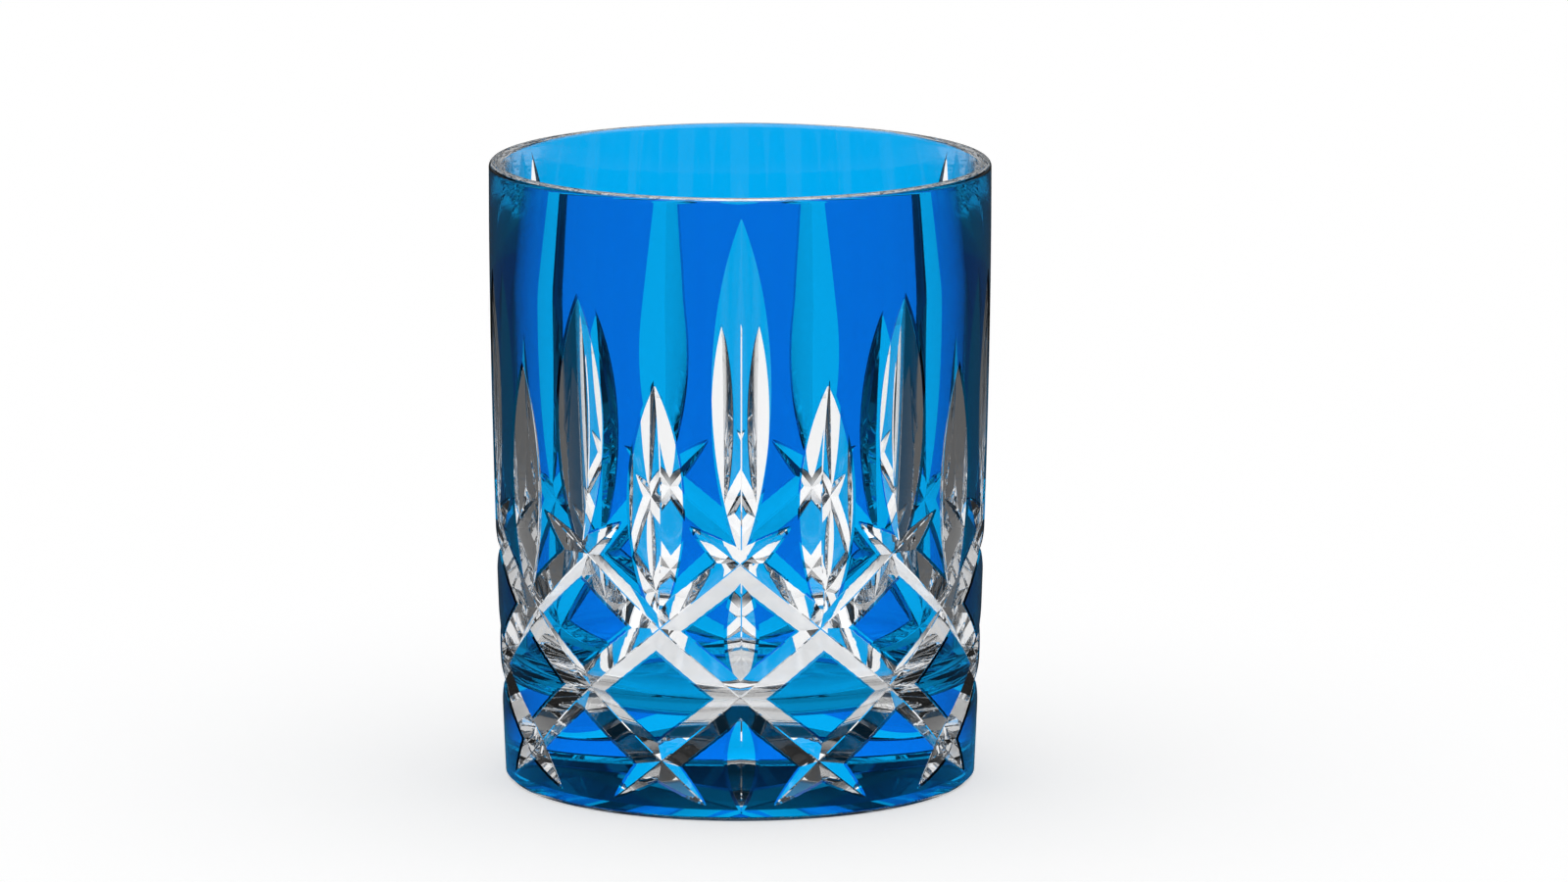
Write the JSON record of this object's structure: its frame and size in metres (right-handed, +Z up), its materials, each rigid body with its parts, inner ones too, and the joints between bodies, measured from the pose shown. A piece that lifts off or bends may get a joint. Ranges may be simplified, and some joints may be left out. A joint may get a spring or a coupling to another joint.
{
  "type": "whiskey tumbler",
  "caption": "Short heavy tumbler of clear cut glass with a thin blue overlay, cut through in leaves and crossed grooves that leave blue lozenges.",
  "frame": {"origin": "centre of the rest face, on the glass's own axis", "axes": "+Z up along the glass's axis, -Y towards the column with the long leaf that faces the viewer, +X to the viewer's right"},
  "size_m": [0.082, 0.082, 0.102],
  "materials": {
    "clear_crystal": "polished clear crystal, cut facets polished",
    "blue_overlay": "polished transparent blue overlay glass, 0.25 mm thick"
  },
  "bodies": {
    "root": {"crystal_body": "clear_crystal", "upper_overlay": "blue_overlay", "base_overlay": "blue_overlay", "upper_lozenge_1_left": "blue_overlay", "upper_lozenge_1_right": "blue_overlay", "upper_lozenge_2": "blue_overlay", "upper_lozenge_3": "blue_overlay", "upper_lozenge_4_left": "blue_overlay", "upper_lozenge_4_right": "blue_overlay", "upper_lozenge_5": "blue_overlay", "upper_lozenge_6": "blue_overlay", "upper_lozenge_7_left": "blue_overlay", "upper_lozenge_7_right": "blue_overlay", "upper_lozenge_8": "blue_overlay", "upper_lozenge_9": "blue_overlay", "lower_lozenge_1": "blue_overlay", "lower_lozenge_2": "blue_overlay", "lower_lozenge_3": "blue_overlay", "lower_lozenge_4": "blue_overlay", "lower_lozenge_5": "blue_overlay", "lower_lozenge_6": "blue_overlay", "lower_lozenge_7": "blue_overlay", "lower_lozenge_8": "blue_overlay", "lower_lozenge_9": "blue_overlay"}
  },
  "joints": []
}
